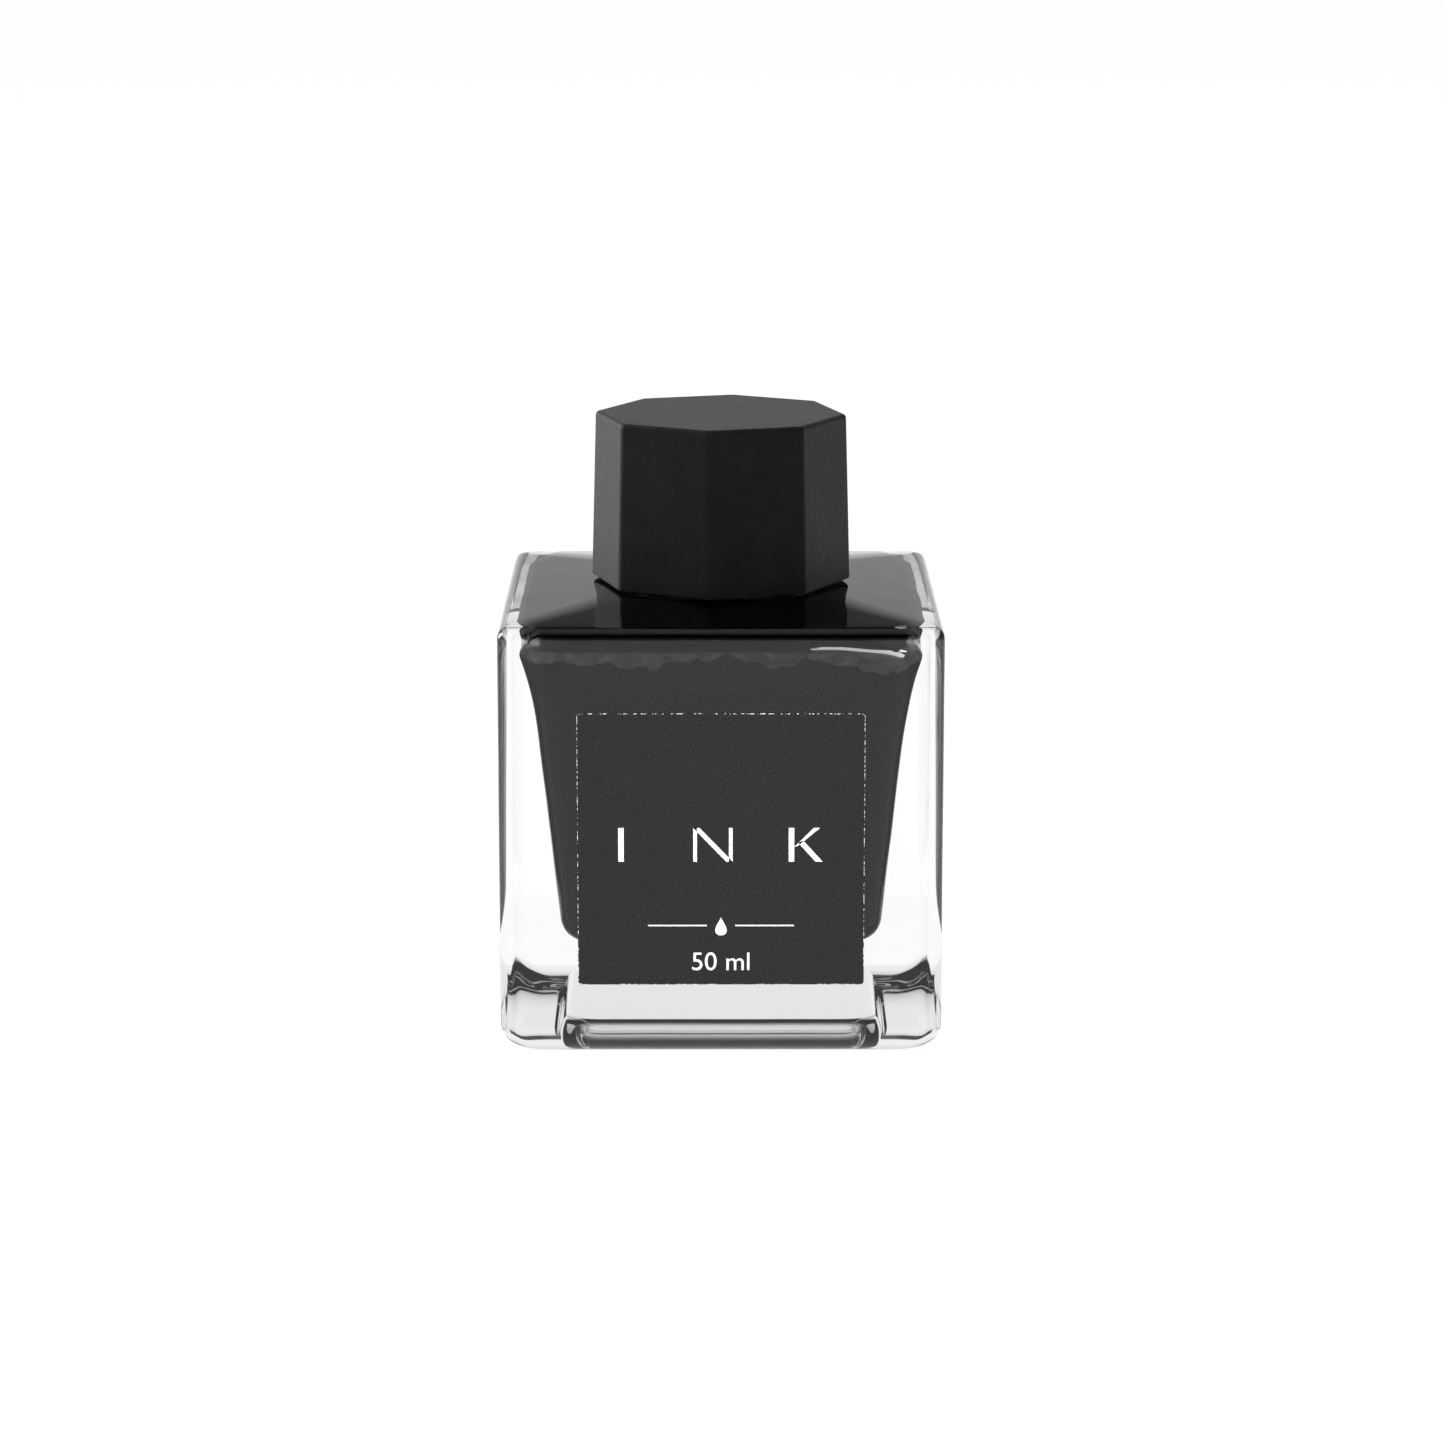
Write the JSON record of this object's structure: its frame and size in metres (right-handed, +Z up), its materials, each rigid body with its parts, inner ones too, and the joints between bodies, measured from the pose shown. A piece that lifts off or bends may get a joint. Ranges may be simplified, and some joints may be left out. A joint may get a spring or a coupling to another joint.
{
  "type": "ink bottle",
  "caption": "Square clear glass ink bottle with a thick base, low pyramid shoulder, threaded neck, black ink, dark front label and a matte black octagonal screw cap.",
  "frame": {"origin": "middle of the square base, on the surface that the bottle stands on", "axes": "+Z up along the neck and the cap, -Y out of the label, +X to the right when facing the label"},
  "size_m": [0.05, 0.0501, 0.07],
  "materials": {
    "clear_glass": "clear polished glass, fire-polished edges, thick base",
    "black_ink": "opaque black liquid",
    "label_film": "dark warm grey textured paper label with fine pale flecks",
    "cap_black": "moulded black plastic with a fine grained matte surface",
    "insert_black": "plain moulded black polypropylene",
    "liner_foam": "white expanded polyethylene, satin"
  },
  "bodies": {
    "bottle": {"bottle": "clear_glass", "ink": "black_ink", "front_label": "label_film"},
    "liner": {"sealing_liner": "liner_foam"},
    "cap": {"cap_shell": "cap_black", "cap_insert": "insert_black"}
  },
  "joints": [
    {"name": "cap_rise", "type": "slide", "parent": "bottle", "child": "liner", "axis": [0, 0, 1], "range_m": [0, 0.01588]},
    {"name": "cap_turn", "type": "hinge", "parent": "liner", "child": "cap", "pos_m": [0, 0, 0.0508], "axis": [0, 0, 1], "range_deg": [0, 1800]}
  ],
  "couplings": [
    {"joint": "cap_rise", "follows": "cap_turn", "m_per_rad": 0.00050532}
  ]
}
